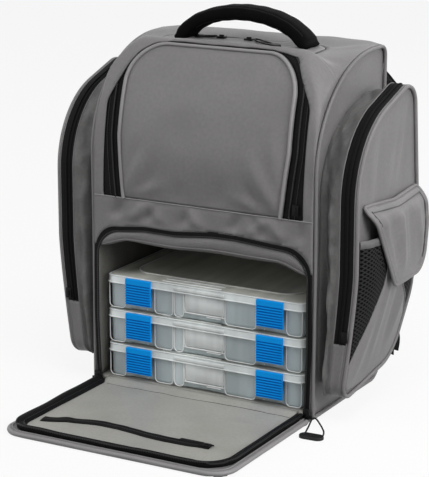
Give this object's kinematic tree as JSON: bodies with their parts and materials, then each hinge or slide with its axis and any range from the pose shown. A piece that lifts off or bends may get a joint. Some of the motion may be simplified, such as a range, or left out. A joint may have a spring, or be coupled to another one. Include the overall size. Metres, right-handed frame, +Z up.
{
  "type": "tackle backpack",
  "caption": "Fishing backpack with a drop-down front door over stacked tackle boxes, a zipped front pocket, a top lid with a carry handle, and side pockets with covered bottle pouches.",
  "frame": {"origin": "centre of the underside of the base panel's body, halfway between front face and back panel", "axes": "+X to the right seen from the front, +Y towards the wearer's back, +Z up"},
  "size_m": [0.4482, 0.4473, 0.47],
  "materials": {
    "grey_fabric": "coated polyester, warm grey",
    "piping": "bound piping, light grey",
    "lining": "coated lining, grey-beige",
    "stiffener": "board",
    "zip_tape": "woven zip tape, black",
    "mesh": "black mesh",
    "webbing": "black padded webbing",
    "zip_slider": "black moulded",
    "pull_cord": "thin braided cord",
    "pull_grip": "moulded grip",
    "clear_plastic": "clear polypropylene, milky",
    "blue_latch": "ribbed blue latch"
  },
  "bodies": {
    "pack": {"base_panel": "grey_fabric", "base_board": "stiffener", "back_panel": "grey_fabric", "left_side_panel": "grey_fabric", "right_side_panel": "grey_fabric", "side_piping": "piping", "front_panel": "grey_fabric", "top_panel": "grey_fabric", "compartment_shelf": "grey_fabric", "opening_zip_tape": "zip_tape", "storm_strip": "grey_fabric", "front_pocket_wall": "grey_fabric", "front_pocket_band": "zip_tape", "left_side_gusset": "grey_fabric", "right_side_gusset": "grey_fabric", "side_zip_bands": "zip_tape", "back_pads": "mesh", "shoulder_straps": "webbing", "ladder_locks": "zip_slider", "strap_webbing": "webbing"},
    "door": {"door_panel": "grey_fabric", "door_zip_tape": "zip_tape", "door_lining": "lining", "door_pocket_zip": "zip_tape"},
    "door_pocket_slider": {"door_pocket_slider": "zip_slider"},
    "door_slider_left": {"door_slider_left": "zip_slider"},
    "door_slider_right": {"door_slider_right": "zip_slider", "door_pull_cord": "pull_cord", "door_pull_grip": "pull_grip"},
    "front_pocket": {"front_pocket_panel": "grey_fabric", "front_pocket_piping": "piping"},
    "front_pocket_slider": {"front_pocket_slider": "zip_slider"},
    "top_lid": {"top_lid": "grey_fabric"},
    "handle": {"carry_handle": "webbing"},
    "top_slider_left": {"top_slider_left": "zip_slider", "top_pull_cord_left": "pull_cord", "top_pull_grip_left": "pull_grip"},
    "top_slider_right": {"top_slider_right": "zip_slider", "top_pull_cord_right": "pull_cord", "top_pull_grip_right": "pull_grip"},
    "left_side_pocket": {"left_side_pocket_panel": "grey_fabric", "left_bottle_pocket": "mesh"},
    "left_bottle_flap": {"left_bottle_flap": "grey_fabric"},
    "left_side_slider": {"left_side_slider": "zip_slider"},
    "right_side_pocket": {"right_side_pocket_panel": "grey_fabric", "right_bottle_pocket": "mesh"},
    "right_bottle_flap": {"right_bottle_flap": "grey_fabric"},
    "right_side_slider": {"right_side_slider": "zip_slider"},
    "tackle_box_1": {"tackle_box_1_tray": "clear_plastic", "tackle_box_1_lid": "clear_plastic"},
    "tackle_box_1_latch_left": {"tackle_box_1_latch_left": "blue_latch"},
    "tackle_box_1_latch_right": {"tackle_box_1_latch_right": "blue_latch"},
    "tackle_box_2": {"tackle_box_2_tray": "clear_plastic", "tackle_box_2_lid": "clear_plastic"},
    "tackle_box_2_latch_left": {"tackle_box_2_latch_left": "blue_latch"},
    "tackle_box_2_latch_right": {"tackle_box_2_latch_right": "blue_latch"},
    "tackle_box_3": {"tackle_box_3_tray": "clear_plastic", "tackle_box_3_lid": "clear_plastic"},
    "tackle_box_3_latch_left": {"tackle_box_3_latch_left": "blue_latch"},
    "tackle_box_3_latch_right": {"tackle_box_3_latch_right": "blue_latch"}
  },
  "joints": [
    {"name": "door_fold", "type": "hinge", "parent": "pack", "child": "door", "pos_m": [0, -0.1, 0.0098], "axis": [1, 0, 0], "range_deg": [-90, 0]},
    {"name": "door_pocket_zip", "type": "slide", "parent": "door", "child": "door_pocket_slider", "axis": [-1, 0, 0], "range_m": [0, 0.165]},
    {"name": "door_zip_left", "type": "slide", "parent": "pack", "child": "door_slider_left", "axis": [0, 0, 1], "range_m": [0, 0.15]},
    {"name": "door_zip_right", "type": "slide", "parent": "pack", "child": "door_slider_right", "axis": [0, 0, 1], "range_m": [0, 0.15]},
    {"name": "front_pocket_fold", "type": "hinge", "parent": "pack", "child": "front_pocket", "pos_m": [0, -0.0933, 0.2423], "axis": [1, 0, 0], "range_deg": [0, 95]},
    {"name": "front_pocket_zip", "type": "slide", "parent": "pack", "child": "front_pocket_slider", "axis": [0, 0, 1], "range_m": [0, 0.06]},
    {"name": "top_lid_fold", "type": "hinge", "parent": "pack", "child": "top_lid", "pos_m": [0, -0.018, 0.424], "axis": [1, 0, 0], "range_deg": [0, 90]},
    {"name": "handle_fold", "type": "hinge", "parent": "top_lid", "child": "handle", "pos_m": [0, 0.019, 0.4313], "axis": [-1, 0, 0], "range_deg": [-40, 40]},
    {"name": "top_zip_left", "type": "slide", "parent": "top_lid", "child": "top_slider_left", "axis": [1, 0, 0], "range_m": [0, 0.0125]},
    {"name": "top_zip_right", "type": "slide", "parent": "top_lid", "child": "top_slider_right", "axis": [-1, 0, 0], "range_m": [0, 0.0125]},
    {"name": "right_side_pocket_fold", "type": "hinge", "parent": "pack", "child": "right_side_pocket", "pos_m": [0.1993, 0.083, 0.21], "axis": [0, 0, 1], "range_deg": [0, 35]},
    {"name": "right_side_zip", "type": "slide", "parent": "pack", "child": "right_side_slider", "axis": [0, 0, 1], "range_m": [0, 0.13]},
    {"name": "right_flap_fold", "type": "hinge", "parent": "right_side_pocket", "child": "right_bottle_flap", "pos_m": [0.2056, -0.001, 0.262], "axis": [0, -1, 0], "range_deg": [0, 110]},
    {"name": "left_side_pocket_fold", "type": "hinge", "parent": "pack", "child": "left_side_pocket", "pos_m": [-0.1993, 0.083, 0.21], "axis": [0, 0, -1], "range_deg": [0, 35]},
    {"name": "left_side_zip", "type": "slide", "parent": "pack", "child": "left_side_slider", "axis": [0, 0, 1], "range_m": [0, 0.13]},
    {"name": "left_flap_fold", "type": "hinge", "parent": "left_side_pocket", "child": "left_bottle_flap", "pos_m": [-0.2056, -0.001, 0.262], "axis": [0, 1, 0], "range_deg": [0, 110]},
    {"name": "tackle_box_1_slide", "type": "slide", "parent": "pack", "child": "tackle_box_1", "axis": [0, -1, 0], "range_m": [0, 0.2]},
    {"name": "tackle_box_1_latch_left", "type": "hinge", "parent": "tackle_box_1", "child": "tackle_box_1_latch_left", "pos_m": [-0.0895, -0.0898, 0.0516], "axis": [-1, 0, 0], "range_deg": [0, 90]},
    {"name": "tackle_box_1_latch_right", "type": "hinge", "parent": "tackle_box_1", "child": "tackle_box_1_latch_right", "pos_m": [0.092, -0.0898, 0.0516], "axis": [-1, 0, 0], "range_deg": [0, 90]},
    {"name": "tackle_box_2_slide", "type": "slide", "parent": "pack", "child": "tackle_box_2", "axis": [0, -1, 0], "range_m": [0, 0.2]},
    {"name": "tackle_box_2_latch_left", "type": "hinge", "parent": "tackle_box_2", "child": "tackle_box_2_latch_left", "pos_m": [-0.0895, -0.0898, 0.0956], "axis": [-1, 0, 0], "range_deg": [0, 90]},
    {"name": "tackle_box_2_latch_right", "type": "hinge", "parent": "tackle_box_2", "child": "tackle_box_2_latch_right", "pos_m": [0.092, -0.0898, 0.0956], "axis": [-1, 0, 0], "range_deg": [0, 90]},
    {"name": "tackle_box_3_slide", "type": "slide", "parent": "pack", "child": "tackle_box_3", "axis": [0, -1, 0], "range_m": [0, 0.2]},
    {"name": "tackle_box_3_latch_left", "type": "hinge", "parent": "tackle_box_3", "child": "tackle_box_3_latch_left", "pos_m": [-0.0895, -0.0898, 0.1396], "axis": [-1, 0, 0], "range_deg": [0, 90]},
    {"name": "tackle_box_3_latch_right", "type": "hinge", "parent": "tackle_box_3", "child": "tackle_box_3_latch_right", "pos_m": [0.092, -0.0898, 0.1396], "axis": [-1, 0, 0], "range_deg": [0, 90]}
  ]
}
